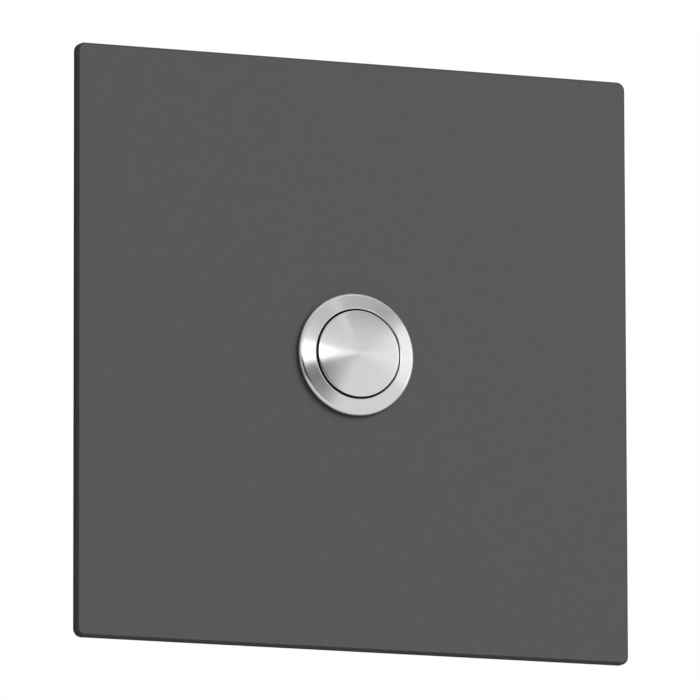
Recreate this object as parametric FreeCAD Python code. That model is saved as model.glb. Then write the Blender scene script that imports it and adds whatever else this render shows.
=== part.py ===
import FreeCAD, Part
import math
import os

os.makedirs("parts", exist_ok=True)
Vector = FreeCAD.Vector

# Square door-bell plate with one slightly raised stainless push button for a 16 mm hole.
# Millimetres. Y runs into the wall and Z is up. The origin is on the button's axis, in the plate's back face.
# Lengths along Y are measured from the plate's back face unless they are named as a thickness, rise or gap.

# Face plate: laser-cut steel sheet, powder coated, with a rolled front edge
PLATE_SIDE = 85.0
PLATE_THICKNESS = 1.5
PLATE_CORNER_R = 1.2
PLATE_FRONT_ROUND = 0.3
PLATE_BACK_BREAK = 0.12
HOLE_CLEARANCE = 0.1

# Threaded M4 pins welded to the back of the plate
STUD_INSET = 10.0
STUD_R = 2.0
STUD_LENGTH = 16.0
STUD_TIP_BREAK = 0.5

# Switch housing: bezel and barrel turned in one piece. The walls here and the widths of the contact set
# below add up to the 16 mm of the M16 x 1 thread.
REAR_WALL = 1.5
BORE_WALL = 1.53
BARREL_END = 16.0
BARREL_TIP_BREAK = 0.4
BEZEL_OVERHANG = 0.8
BEZEL_EDGE_BREAK = 0.35
BEZEL_RIM_RISE = 0.9
BEZEL_LIP_RISE = 1.32
BORE_EDGE_BREAK = 0.12
WEB_FRONT = 4.0
WEB_THICKNESS = 2.0
CLIP_CHAMBER_DEPTH = 1.0
REAR_STEP_REACH = 0.8
CRIMP_LIP_REACH = 0.3
CRIMP_LIP_LENGTH = 0.6

# Gasket under the bezel, squeezed flat
GASKET_THICKNESS = 0.3
GASKET_OVERHANG = 0.06

# Lock washer with inner teeth
WASHER_THICKNESS = 0.8
WASHER_RING_THICKNESS = 0.5
WASHER_RING_WIDTH = 1.35
WASHER_TEETH = 12
TOOTH_LENGTH = 0.82
TOOTH_WIDTH = 1.9
TOOTH_THICKNESS = 0.45
TOOTH_ROOT = 0.3
TOOTH_TIP_GAP = 0.08
TOOTH_FACE_GAP = 0.01

# Panel nut
NUT_WALL = 1.5
NUT_THICKNESS = 3.0
NUT_CHAMFER_ANGLE = 30.0
NUT_BORE_BREAK = 0.5

# Travel of the push cap, and how far it goes on once the contacts have met
PRESS_TRAVEL = 1.3
OVERTRAVEL = 0.4
STOP_CLEARANCE = 0.02

# Push cap: a stainless cup, its domed face just proud of the lip, with an O-ring groove and a guide land
CAP_PROUD = 0.22
CAP_DOME_RISE = 0.5
CAP_EDGE_GAP = 0.26
CAP_EDGE_BREAK = 0.1
CAP_LAND_LENGTH = 2.1
CAP_CROWN_THICKNESS = 1.84
CAP_GUIDE_CLEARANCE = 0.05
CAP_SKIRT_WALL = 0.45
GROOVE_WIDTH = 1.2

# O-ring on the cap
O_RING_SECTION_R = 0.475
O_RING_SEAT_GAP = 0.01
O_RING_BORE_GAP = 0.06

# Plunger
PLUNGER_STEM_R = 2.5
STEM_CLEARANCE = 0.05
PLUNGER_FLANGE_THICKNESS = 0.8
PLUNGER_FLANGE_CLEARANCE = 0.02
PLUNGER_GROOVE_DEPTH = 0.5
PLUNGER_COLLAR = 0.5
NOSE_R = 1.2
NOSE_TAIL = 0.56
NOSE_BREAK = 0.25

# Retaining clip behind the web
CLIP_THICKNESS = 0.5
CLIP_RIM = 1.5
CLIP_LOBE_LENGTH = 1.0
CLIP_LOBE_WIDTH = 1.5
CLIP_MOUTH_CLEARANCE = 0.05
CLIP_LOBE_ANGLES = (90.0, 205.0, 335.0)

# Springs: round wire, one closed turn at each end
COIL_POINTS_A_TURN = 12
CLOSED_TURN_PITCH = 1.05
SPRING_SEAT_GAP = 0.02
RETURN_WIRE_R = 0.275
RETURN_SKIRT_GAP = 0.92
RETURN_ACTIVE_TURNS = 3.0
CONTACT_WIRE_R = 0.125
CONTACT_NOSE_GAP = 0.175
CONTACT_ACTIVE_TURNS = 3.0
CONTACT_SPRING_LENGTH = 2.0

# Contact carrier: moulded insulator crimped into the barrel
CARRIER_CLEARANCE = 0.02
CARRIER_LIP_CLEARANCE = 0.1
CARRIER_CHAMBER_SPARE = 0.28
CARRIER_TOWER_LENGTH = 3.5
PARTITION_HEIGHT = 3.4
PARTITION_HALF_THICKNESS = 0.6
PARTITION_INSET = 0.5
PARTITION_ROUND = 0.25

# Fixed contacts: strip bent into a hook with a terminal flag
STRIP_THICKNESS = 0.6
STRIP_HALF_WIDTH = 1.5
STRIP_COVER = 0.4
STRIP_END_MARGIN = 0.1
FLAG_PARTITION_GAP = 0.3
FLAG_HALF_WIDTH = 2.4

# Contact bridge and its retaining washer
BRIDGE_END_GAP = 0.9
BRIDGE_SIDE_GAP = 0.1
BRIDGE_HALF_WIDTH = 1.9
BRIDGE_THICKNESS = 0.5
BRIDGE_CORNER_R = 0.6
BRIDGE_HOLE_CLEARANCE = 0.05
RETAINER_RIM = 0.55
RETAINER_THICKNESS = 0.3
RETAINER_CLEARANCE = 0.02

# Contact tips
TIP_R = 0.9
TIP_THICKNESS = 0.5
TIP_DOME_R = 2.4
TIP_RETAINER_GAP = 0.35
TIP_END_MARGIN = 0.3

# Terminal screws M2.5 with square clamp washers
SCREW_R = 1.25
SCREW_HEAD_HEIGHT = 1.5
SCREW_HEAD_ROUND = 0.6
SCREW_LENGTH = 5.0
SCREW_PARTITION_GAP = 0.15
SCREW_POCKET_CLEARANCE = 0.1
SCREW_POCKET_SPARE = 0.5
SLOT_WIDTH = 0.6
SLOT_DEPTH = 0.7
CLAMP_HALF_WIDTH = 2.2
CLAMP_THICKNESS = 0.8
CLAMP_CORNER_R = 0.4

# Radii and places that follow from the sizes above
PLATE_FRONT = -PLATE_THICKNESS
RETAINER_R = NOSE_R + RETAINER_RIM
TIP_X = RETAINER_R + TIP_RETAINER_GAP + TIP_R
BRIDGE_HALF_LENGTH = TIP_X + TIP_R + TIP_END_MARGIN
RISER_X = BRIDGE_HALF_LENGTH + BRIDGE_END_GAP
STRIP_OUTER_X = RISER_X + STRIP_THICKNESS
TOWER_R = STRIP_OUTER_X + STRIP_COVER
CRIMP_LIP_R = TOWER_R + CARRIER_LIP_CLEARANCE
REAR_BORE_R = CRIMP_LIP_R + CRIMP_LIP_REACH
SPIGOT_R = REAR_BORE_R - CARRIER_CLEARANCE
CLIP_CHAMBER_R = REAR_BORE_R - REAR_STEP_REACH
BARREL_R = REAR_BORE_R + REAR_WALL
BORE_R = BARREL_R - BORE_WALL
BEZEL_R = BARREL_R + BEZEL_OVERHANG
BEZEL_BACK = PLATE_FRONT - GASKET_THICKNESS
BEZEL_RIM = PLATE_FRONT - BEZEL_RIM_RISE
BEZEL_LIP = PLATE_FRONT - BEZEL_LIP_RISE
WEB_BACK = WEB_FRONT + WEB_THICKNESS
REAR_STEP = WEB_BACK + CLIP_CHAMBER_DEPTH
CRIMP_LIP_FRONT = BARREL_END - CRIMP_LIP_LENGTH
CAP_RIM = BEZEL_LIP - CAP_PROUD
CAP_CREST = CAP_RIM - CAP_DOME_RISE
CAP_FACE_R = BORE_R - CAP_EDGE_GAP
CAP_DOME_EDGE_R = CAP_FACE_R - CAP_EDGE_BREAK
CAP_GUIDE_R = BORE_R - CAP_GUIDE_CLEARANCE
CAP_CROWN_BACK = CAP_RIM + CAP_CROWN_THICKNESS
CAP_SKIRT_END = WEB_FRONT - PRESS_TRAVEL - STOP_CLEARANCE
GROOVE_FRONT = CAP_RIM + CAP_LAND_LENGTH
GROOVE_BACK = GROOVE_FRONT + GROOVE_WIDTH
O_RING_MIDDLE_R = BORE_R - O_RING_BORE_GAP - O_RING_SECTION_R
GROOVE_BOTTOM_R = O_RING_MIDDLE_R - O_RING_SECTION_R - O_RING_SEAT_GAP
CAP_SKIRT_INNER_R = GROOVE_BOTTOM_R - CAP_SKIRT_WALL
PLUNGER_FLANGE_BACK = CAP_CROWN_BACK + PLUNGER_FLANGE_THICKNESS
PLUNGER_GROOVE_R = PLUNGER_STEM_R - PLUNGER_GROOVE_DEPTH
CLIP_FRONT = WEB_BACK + STOP_CLEARANCE
CLIP_BACK = CLIP_FRONT + CLIP_THICKNESS
CLIP_INNER_R = PLUNGER_GROOVE_R + CLIP_LOBE_LENGTH
CLIP_R = CLIP_INNER_R + CLIP_RIM
SHOULDER = CLIP_BACK + PLUNGER_COLLAR
BRIDGE_FRONT = SHOULDER + CONTACT_SPRING_LENGTH
BRIDGE_BACK = BRIDGE_FRONT + BRIDGE_THICKNESS
RETAINER_FRONT = BRIDGE_BACK + RETAINER_CLEARANCE
RETAINER_BACK = RETAINER_FRONT + RETAINER_THICKNESS
NOSE_END = RETAINER_BACK + NOSE_TAIL
MOVING_TIP_BACK = BRIDGE_BACK + TIP_THICKNESS
FIXED_TIP_FRONT = MOVING_TIP_BACK + PRESS_TRAVEL - OVERTRAVEL
STRIP_FRONT = FIXED_TIP_FRONT + TIP_THICKNESS
CARRIER_FLOOR = STRIP_FRONT + STRIP_THICKNESS
CHAMBER_END = SHOULDER + PRESS_TRAVEL + CARRIER_CHAMBER_SPARE
FLAG_SEAT = BARREL_END + CARRIER_TOWER_LENGTH
FLAG_BACK = FLAG_SEAT + STRIP_THICKNESS
FLAG_INNER_X = PARTITION_HALF_THICKNESS + FLAG_PARTITION_GAP
STRIP_INNER_X = TIP_X - TIP_R - STRIP_END_MARGIN
SCREW_X = (FLAG_INNER_X + RISER_X) / 2
SCREW_HEAD_R = SCREW_X - PARTITION_HALF_THICKNESS - SCREW_PARTITION_GAP
CLAMP_BACK = FLAG_BACK + CLAMP_THICKNESS
HEAD_BACK = CLAMP_BACK + SCREW_HEAD_HEIGHT
SCREW_TIP = CLAMP_BACK - SCREW_LENGTH
SIDES = (("left", -1.0), ("right", 1.0))
Y_AXIS = Vector(0, 1, 0)
TINY = 1e-6


def turned(profile):
    """A solid turned about the Y axis from (radius, y) points."""
    points = [Vector(radius, y, 0) for radius, y in profile]
    face = Part.Face(Part.makePolygon(points + points[:1]))
    return face.revolve(Vector(0, 0, 0), Y_AXIS, 360)


def rod(radius, start, end, x=0.0):
    """A round bar along Y from start to end."""
    return Part.makeCylinder(radius, end - start, Vector(x, start, 0), Y_AXIS)


def block(x_range, y_range, z_range):
    """A box from its three ranges, each given in either order."""
    lows = [min(pair) for pair in (x_range, y_range, z_range)]
    sizes = [abs(pair[1] - pair[0]) for pair in (x_range, y_range, z_range)]
    return Part.makeBox(*sizes, Vector(*lows))


def edges_along_y(shape):
    """The straight edges that run along Y."""
    found = []
    for edge in shape.Edges:
        run = edge.Vertexes[-1].Point.sub(edge.Vertexes[0].Point)
        if abs(run.x) + abs(run.z) < TINY and run.Length > TINY:
            found.append(edge)
    return found


def edges_in_plane(shape, y):
    """The edges that lie in the plane at that Y."""
    return [
        edge
        for edge in shape.Edges
        if abs(edge.BoundBox.YMin - y) < TINY and abs(edge.BoundBox.YMax - y) < TINY
    ]


def coil(mean_r, wire_r, start, end, active_turns):
    """A compression spring along Y that fills start to end: closed turn, active turns, closed turn."""
    closed_rise = 2 * wire_r * CLOSED_TURN_PITCH
    full_rise = end - start - 2 * wire_r
    turns = (0.0, 1.0, 1.0 + active_turns, 2.0 + active_turns)
    rises = (0.0, closed_rise, full_rise - closed_rise, full_rise)
    points = []
    for step in range(round(turns[-1] * COIL_POINTS_A_TURN) + 1):
        turn = step / COIL_POINTS_A_TURN
        stage = max(i for i in range(3) if turn >= turns[i] - TINY)
        share = (turn - turns[stage]) / (turns[stage + 1] - turns[stage])
        rise = rises[stage] + share * (rises[stage + 1] - rises[stage])
        angle = 2 * math.pi * turn
        y = start + wire_r + rise
        points.append(Vector(mean_r * math.cos(angle), y, mean_r * math.sin(angle)))
    curve = Part.BSplineCurve()
    curve.interpolate(points)
    heading = curve.tangent(curve.FirstParameter)[0]
    section = Part.Wire([Part.makeCircle(wire_r, points[0], heading)])
    return Part.Wire([curve.toShape()]).makePipeShell([section], True, True)


def contact_tip(x, foot, crown):
    """A silver rivet head that stands on foot, with its domed crown at crown."""
    way = math.copysign(1, crown - foot)
    tip = rod(TIP_R, min(foot, crown), max(foot, crown), x)
    return tip.common(Part.makeSphere(TIP_DOME_R, Vector(x, crown - way * TIP_DOME_R, 0)))


def save(shape, name):
    """Writes one piece as a STEP file."""
    shape.exportStep(f"parts/{name}.step")


# Face plate
half_side = PLATE_SIDE / 2
plate = block((-half_side, half_side), (PLATE_FRONT, 0), (-half_side, half_side))
plate = plate.makeFillet(PLATE_CORNER_R, edges_along_y(plate))
plate = plate.makeFillet(PLATE_FRONT_ROUND, edges_in_plane(plate, PLATE_FRONT))
plate = plate.makeChamfer(PLATE_BACK_BREAK, edges_in_plane(plate, 0))
plate = plate.cut(rod(BARREL_R + HOLE_CLEARANCE, PLATE_FRONT, 0))
save(plate, "face_plate")

# Weld studs
stud_place = half_side - STUD_INSET
stud_corners = [(x, z) for z in (stud_place, -stud_place) for x in (-stud_place, stud_place)]
for number, (x, z) in enumerate(stud_corners, start=1):
    stud = turned([
        (0, 0),
        (STUD_R, 0),
        (STUD_R, STUD_LENGTH - STUD_TIP_BREAK),
        (STUD_R - STUD_TIP_BREAK, STUD_LENGTH),
        (0, STUD_LENGTH),
    ])
    stud.translate(Vector(x, 0, z))
    save(stud, f"weld_stud_{number}")

# Bezel gasket
gasket = rod(BEZEL_R + GASKET_OVERHANG, BEZEL_BACK, PLATE_FRONT)
save(gasket.cut(rod(BARREL_R, BEZEL_BACK, PLATE_FRONT)), "bezel_gasket")

# Switch housing
housing = turned([
    (BORE_R + BORE_EDGE_BREAK, BEZEL_LIP),
    (BEZEL_R - BEZEL_EDGE_BREAK, BEZEL_RIM),
    (BEZEL_R, BEZEL_RIM + BEZEL_EDGE_BREAK),
    (BEZEL_R, BEZEL_BACK),
    (BARREL_R, BEZEL_BACK),
    (BARREL_R, BARREL_END - BARREL_TIP_BREAK),
    (BARREL_R - BARREL_TIP_BREAK, BARREL_END),
    (CRIMP_LIP_R, BARREL_END),
    (CRIMP_LIP_R, CRIMP_LIP_FRONT),
    (REAR_BORE_R, CRIMP_LIP_FRONT),
    (REAR_BORE_R, REAR_STEP),
    (CLIP_CHAMBER_R, REAR_STEP),
    (CLIP_CHAMBER_R, WEB_BACK),
    (PLUNGER_STEM_R + STEM_CLEARANCE, WEB_BACK),
    (PLUNGER_STEM_R + STEM_CLEARANCE, WEB_FRONT),
    (BORE_R, WEB_FRONT),
    (BORE_R, BEZEL_LIP + BORE_EDGE_BREAK),
])
save(housing, "switch_housing")

# Lock washer
washer_middle = WASHER_THICKNESS / 2
ring_front = washer_middle - WASHER_RING_THICKNESS / 2
ring_back = washer_middle + WASHER_RING_THICKNESS / 2
ring_inner_r = BARREL_R + TOOTH_TIP_GAP + TOOTH_LENGTH
washer = rod(ring_inner_r + WASHER_RING_WIDTH, ring_front, ring_back)
washer = washer.cut(rod(ring_inner_r, ring_front, ring_back))
twist_rise = WASHER_THICKNESS - TOOTH_THICKNESS - 2 * TOOTH_FACE_GAP
tooth_twist = math.degrees(math.asin(twist_rise / TOOTH_WIDTH))
for number in range(WASHER_TEETH):
    tooth = block(
        (BARREL_R + TOOTH_TIP_GAP, ring_inner_r + TOOTH_ROOT),
        (washer_middle - TOOTH_THICKNESS / 2, washer_middle + TOOTH_THICKNESS / 2),
        (-TOOTH_WIDTH / 2, TOOTH_WIDTH / 2),
    )
    tooth.rotate(Vector(0, washer_middle, 0), Vector(1, 0, 0), tooth_twist)
    tooth.rotate(Vector(0, 0, 0), Y_AXIS, number * 360 / WASHER_TEETH)
    washer = washer.fuse(tooth)
save(washer, "lock_washer")

# Panel nut
nut_front = WASHER_THICKNESS
nut_back = nut_front + NUT_THICKNESS
flat_r = BARREL_R + NUT_WALL
corner_r = flat_r / math.cos(math.pi / 6)
hexagon = []
for degrees in range(0, 361, 60):
    angle = math.radians(degrees)
    hexagon.append(Vector(corner_r * math.cos(angle), nut_front, corner_r * math.sin(angle)))
nut = Part.Face(Part.makePolygon(hexagon)).extrude(Vector(0, NUT_THICKNESS, 0))
corner_drop = (corner_r - flat_r) * math.tan(math.radians(NUT_CHAMFER_ANGLE))
nut = nut.common(turned([
    (0, nut_front),
    (flat_r, nut_front),
    (corner_r, nut_front + corner_drop),
    (corner_r, nut_back - corner_drop),
    (flat_r, nut_back),
    (0, nut_back),
]))
nut = nut.cut(turned([
    (0, nut_front),
    (BARREL_R + NUT_BORE_BREAK, nut_front),
    (BARREL_R, nut_front + NUT_BORE_BREAK),
    (BARREL_R, nut_back - NUT_BORE_BREAK),
    (BARREL_R + NUT_BORE_BREAK, nut_back),
    (0, nut_back),
]))
save(nut, "panel_nut")

# Push cap
cap = turned([
    (0, CAP_CREST),
    (CAP_DOME_EDGE_R - CAP_DOME_RISE, CAP_CREST),
    (CAP_FACE_R, CAP_RIM + CAP_EDGE_BREAK),
    (CAP_FACE_R, GROOVE_FRONT),
    (GROOVE_BOTTOM_R, GROOVE_FRONT),
    (GROOVE_BOTTOM_R, GROOVE_BACK),
    (CAP_GUIDE_R, GROOVE_BACK),
    (CAP_GUIDE_R, CAP_SKIRT_END),
    (CAP_SKIRT_INNER_R, CAP_SKIRT_END),
    (CAP_SKIRT_INNER_R, CAP_CROWN_BACK),
    (0, CAP_CROWN_BACK),
])
dome_r = (CAP_DOME_EDGE_R ** 2 + CAP_DOME_RISE ** 2) / (2 * CAP_DOME_RISE)
cap = cap.common(Part.makeSphere(dome_r, Vector(0, CAP_CREST + dome_r, 0)))
save(cap, "push_cap")

# O-ring
o_ring_centre = Vector(0, (GROOVE_FRONT + GROOVE_BACK) / 2, 0)
save(Part.makeTorus(O_RING_MIDDLE_R, O_RING_SECTION_R, o_ring_centre, Y_AXIS), "cap_o_ring")

# Plunger
flange_r = CAP_SKIRT_INNER_R - PLUNGER_FLANGE_CLEARANCE
plunger = turned([
    (0, CAP_CROWN_BACK),
    (flange_r, CAP_CROWN_BACK),
    (flange_r, PLUNGER_FLANGE_BACK),
    (PLUNGER_STEM_R, PLUNGER_FLANGE_BACK),
    (PLUNGER_STEM_R, CLIP_FRONT),
    (PLUNGER_GROOVE_R, CLIP_FRONT),
    (PLUNGER_GROOVE_R, CLIP_BACK),
    (PLUNGER_STEM_R, CLIP_BACK),
    (PLUNGER_STEM_R, SHOULDER),
    (NOSE_R, SHOULDER),
    (NOSE_R, NOSE_END - NOSE_BREAK),
    (NOSE_R - NOSE_BREAK, NOSE_END),
    (0, NOSE_END),
])
save(plunger, "plunger")

# Return spring
return_mean_r = CAP_SKIRT_INNER_R - RETURN_SKIRT_GAP - RETURN_WIRE_R
return_start = PLUNGER_FLANGE_BACK + SPRING_SEAT_GAP
return_end = WEB_FRONT - SPRING_SEAT_GAP
save(coil(return_mean_r, RETURN_WIRE_R, return_start, return_end, RETURN_ACTIVE_TURNS), "return_spring")

# Retaining clip
clip = rod(CLIP_R, CLIP_FRONT, CLIP_BACK).cut(rod(CLIP_INNER_R, CLIP_FRONT, CLIP_BACK))
for angle in CLIP_LOBE_ANGLES:
    lobe = block(
        (0, CLIP_INNER_R + CLIP_RIM / 2),
        (CLIP_FRONT, CLIP_BACK),
        (-CLIP_LOBE_WIDTH / 2, CLIP_LOBE_WIDTH / 2),
    )
    lobe.rotate(Vector(0, 0, 0), Y_AXIS, -angle)
    clip = clip.fuse(lobe)
clip = clip.cut(rod(PLUNGER_GROOVE_R, CLIP_FRONT, CLIP_BACK))
mouth_half_width = PLUNGER_GROOVE_R + CLIP_MOUTH_CLEARANCE
mouth_x = (-mouth_half_width, mouth_half_width)
clip = clip.cut(block(mouth_x, (CLIP_FRONT, CLIP_BACK), (-CLIP_R, -PLUNGER_GROOVE_R)))
save(clip.removeSplitter(), "retaining_clip")

# Contact bridge
bridge = block(
    (-BRIDGE_HALF_LENGTH, BRIDGE_HALF_LENGTH),
    (BRIDGE_FRONT, BRIDGE_BACK),
    (-BRIDGE_HALF_WIDTH, BRIDGE_HALF_WIDTH),
)
bridge = bridge.makeFillet(BRIDGE_CORNER_R, edges_along_y(bridge))
bridge = bridge.cut(rod(NOSE_R + BRIDGE_HOLE_CLEARANCE, BRIDGE_FRONT, BRIDGE_BACK))
save(bridge, "contact_bridge")

# Bridge retainer
retainer = rod(RETAINER_R, RETAINER_FRONT, RETAINER_BACK)
save(retainer.cut(rod(NOSE_R, RETAINER_FRONT, RETAINER_BACK)), "bridge_retainer")

# Contact spring
contact_mean_r = NOSE_R + CONTACT_NOSE_GAP + CONTACT_WIRE_R
contact_start = SHOULDER + SPRING_SEAT_GAP
contact_end = BRIDGE_FRONT - SPRING_SEAT_GAP
save(coil(contact_mean_r, CONTACT_WIRE_R, contact_start, contact_end, CONTACT_ACTIVE_TURNS), "contact_spring")

# Fixed contacts and the contact tips
fixed_contacts = []
strip_z = (-STRIP_HALF_WIDTH, STRIP_HALF_WIDTH)
flag_z = (-FLAG_HALF_WIDTH, FLAG_HALF_WIDTH)
for side, sign in SIDES:
    outer_x = sign * STRIP_OUTER_X
    foot = block((sign * STRIP_INNER_X, outer_x), (STRIP_FRONT, CARRIER_FLOOR), strip_z)
    riser = block((sign * RISER_X, outer_x), (STRIP_FRONT, FLAG_BACK), strip_z)
    flag = block((sign * FLAG_INNER_X, outer_x), (FLAG_SEAT, FLAG_BACK), flag_z)
    contact = foot.fuse(riser).fuse(flag).common(rod(TOWER_R, STRIP_FRONT, FLAG_BACK))
    contact = contact.cut(rod(SCREW_R, FLAG_SEAT, FLAG_BACK, sign * SCREW_X)).removeSplitter()
    fixed_contacts.append(contact)
    save(contact, f"fixed_contact_{side}")
    save(contact_tip(sign * TIP_X, STRIP_FRONT, FIXED_TIP_FRONT), f"fixed_tip_{side}")
    save(contact_tip(sign * TIP_X, BRIDGE_BACK, MOVING_TIP_BACK), f"moving_tip_{side}")

# Clamp washers and terminal screws
for side, sign in SIDES:
    middle = sign * SCREW_X
    clamp = block((sign * FLAG_INNER_X, sign * RISER_X), (FLAG_BACK, CLAMP_BACK), (-CLAMP_HALF_WIDTH, CLAMP_HALF_WIDTH))
    clamp = clamp.makeFillet(CLAMP_CORNER_R, edges_along_y(clamp))
    clamp = clamp.cut(rod(SCREW_R + SCREW_POCKET_CLEARANCE, FLAG_BACK, CLAMP_BACK, middle))
    save(clamp, f"clamp_washer_{side}")

    head = rod(SCREW_HEAD_R, CLAMP_BACK, HEAD_BACK, middle)
    head = head.makeFillet(SCREW_HEAD_ROUND, edges_in_plane(head, HEAD_BACK))
    screw = head.fuse(rod(SCREW_R, SCREW_TIP, CLAMP_BACK, middle))
    slot_x = (middle - SLOT_WIDTH / 2, middle + SLOT_WIDTH / 2)
    slot = block(slot_x, (HEAD_BACK - SLOT_DEPTH, HEAD_BACK), (-SCREW_HEAD_R, SCREW_HEAD_R))
    save(screw.cut(slot), f"terminal_screw_{side}")

# Contact carrier
carrier = rod(SPIGOT_R, REAR_STEP, CRIMP_LIP_FRONT).fuse(rod(TOWER_R, CRIMP_LIP_FRONT, FLAG_BACK))
partition_back = FLAG_BACK + PARTITION_HEIGHT
partition_half_width = TOWER_R - PARTITION_INSET
partition = block(
    (-PARTITION_HALF_THICKNESS, PARTITION_HALF_THICKNESS),
    (FLAG_BACK, partition_back),
    (-partition_half_width, partition_half_width),
)
partition = partition.makeFillet(PARTITION_ROUND, edges_in_plane(partition, partition_back))
carrier = carrier.fuse(partition).cut(rod(CLIP_CHAMBER_R, REAR_STEP, CHAMBER_END))
channel_half_width = BRIDGE_HALF_WIDTH + BRIDGE_SIDE_GAP
channel = block((-RISER_X, RISER_X), (CHAMBER_END, CARRIER_FLOOR), (-channel_half_width, channel_half_width))
carrier = carrier.cut(channel.common(rod(RISER_X, CHAMBER_END, CARRIER_FLOOR)))
pocket_r = SCREW_R + SCREW_POCKET_CLEARANCE
pocket_bottom = SCREW_TIP - SCREW_POCKET_SPARE
for (side, sign), contact in zip(SIDES, fixed_contacts):
    screw_pocket = rod(pocket_r, pocket_bottom, FLAG_SEAT, sign * SCREW_X)
    flag_pocket = block((sign * FLAG_INNER_X, sign * TOWER_R), (FLAG_SEAT, FLAG_BACK), flag_z)
    carrier = carrier.cut(screw_pocket).cut(flag_pocket).cut(contact)
save(carrier.removeSplitter(), "contact_carrier")
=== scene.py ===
# %% [markdown]
# # A doorbell push button
# A square, matt anthracite plate carries one stainless push button, whose brushed cap is slightly domed.
# Behind the plate sit four weld studs and a complete switch with springs, contact bridge and terminals.
# The measured solids are loaded first and stay where they are.
# Every piece that follows is modelled on top of them, in the same place and at the same size, with finer
# shapes and finishes.
# Metres are the unit of the scene. Shapes are drawn in millimetres and scaled down once, when a piece is
# made.

# %% Load the measured frame
import math

import bmesh
import bpy
from mathutils import Matrix, Vector


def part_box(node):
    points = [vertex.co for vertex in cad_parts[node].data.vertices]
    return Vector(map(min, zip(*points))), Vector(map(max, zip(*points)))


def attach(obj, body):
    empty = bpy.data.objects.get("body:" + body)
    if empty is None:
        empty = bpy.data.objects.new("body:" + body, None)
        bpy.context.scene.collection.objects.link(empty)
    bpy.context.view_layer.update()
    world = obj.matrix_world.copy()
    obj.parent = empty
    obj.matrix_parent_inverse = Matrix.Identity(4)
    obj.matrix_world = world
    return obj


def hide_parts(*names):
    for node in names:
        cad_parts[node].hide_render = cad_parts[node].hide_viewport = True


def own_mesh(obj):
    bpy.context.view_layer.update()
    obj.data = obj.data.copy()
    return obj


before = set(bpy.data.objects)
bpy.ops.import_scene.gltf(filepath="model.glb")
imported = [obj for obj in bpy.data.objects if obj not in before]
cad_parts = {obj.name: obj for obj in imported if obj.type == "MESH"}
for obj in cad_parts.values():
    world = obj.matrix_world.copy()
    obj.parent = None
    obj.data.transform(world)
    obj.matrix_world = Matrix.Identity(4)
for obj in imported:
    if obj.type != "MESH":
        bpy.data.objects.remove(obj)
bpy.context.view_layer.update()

# %% [markdown]
# ## Three bodies
# The plate, the housing and everything screwed to them stand still.
# The push cap and its plunger move in together, and the contact bridge moves in until it meets the fixed
# contacts. A piece is told which of the three it rides on, so that a press moves it.

# %% Names of the bodies and small tools
FIXED = "plate_and_housing"
CAP = "push_button"
BRIDGE = "bridge"
MM = 0.001
MICRON = 0.000001
Y_AXIS = Vector((0, 1, 0))
CENTRE = (0, 0, 0)


def span(node):
    """Lowest and highest corner of a measured node, in millimetres."""
    low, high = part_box(node)
    return low / MM, high / MM


def placed(name, data):
    """An object that holds the data, linked into the scene."""
    made = bpy.data.objects.new(name, data)
    bpy.context.scene.collection.objects.link(made)
    return made


def mesh_of(bm, name):
    """A mesh with the shape of the bmesh, which is freed."""
    mesh = bpy.data.meshes.new(name)
    bm.to_mesh(mesh)
    bm.free()
    return mesh


plate_low, plate_high = span("face_plate")
print("plate in mm:", [round(v, 2) for v in plate_high - plate_low])

# %% [markdown]
# ## Camera
# The photograph was taken from the left and a little from below, with a long lens.
# Its angle, distance and lens came from the corners and edges of the plate and the ellipses of the button.
# The camera's axes are built as a matrix, because a rolled camera is easier to place that way than with
# angles.

# %% Camera
CAMERA_AZIMUTH = math.radians(22.612)
CAMERA_DROP = math.radians(9.239)
CAMERA_ROLL = math.radians(-0.149)
CAMERA_DISTANCE = 1.5331
CAMERA_TARGET = Vector((-0.000149, 0, 0.000947))
FOCAL_PIXELS = 10740.0
IMAGE_PIXELS = 700
SENSOR_MM = 36.0
CLIP_NEAR = 0.05
CLIP_FAR = 50

away = Vector((
    -math.sin(CAMERA_AZIMUTH) * math.cos(CAMERA_DROP),
    -math.cos(CAMERA_AZIMUTH) * math.cos(CAMERA_DROP),
    -math.sin(CAMERA_DROP),
))
level_right = (-away).cross(Vector((0, 0, 1))).normalized()
level_up = level_right.cross(-away)
right = level_right * math.cos(CAMERA_ROLL) + level_up * math.sin(CAMERA_ROLL)
up = level_up * math.cos(CAMERA_ROLL) - level_right * math.sin(CAMERA_ROLL)

camera = placed("camera", bpy.data.cameras.new("camera"))
camera.data.sensor_width = SENSOR_MM
camera.data.lens = FOCAL_PIXELS * SENSOR_MM / IMAGE_PIXELS
camera.data.clip_start = CLIP_NEAR
camera.data.clip_end = CLIP_FAR
camera.location = CAMERA_TARGET + away * CAMERA_DISTANCE
camera.rotation_euler = Matrix((right, up, away)).transposed().to_euler()
bpy.context.scene.camera = camera
print("lens in mm:", round(camera.data.lens, 1))

# %% [markdown]
# ## Building materials from nodes
# A material is a small graph of nodes. Writing each node on one line keeps the graph readable.
# A value that is the same all over the surface goes straight into the shader's own socket. Only what
# changes over the surface is linked in.

# %% Tools for nodes
def feed(tree, node, inputs):
    """Sets each input of the node, by name or number, to a value or links it to the socket that feeds it."""
    for key, value in inputs.items():
        if isinstance(value, bpy.types.NodeSocket):
            tree.links.new(value, node.inputs[key])
        else:
            node.inputs[key].default_value = value


def add(tree, kind, inputs=(), **settings):
    """Adds one node of that kind. Its settings are the choices in its menus."""
    made = tree.nodes.new("ShaderNode" + kind)
    for key, value in settings.items():
        setattr(made, key, value)
    feed(tree, made, dict(inputs))
    return made


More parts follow.
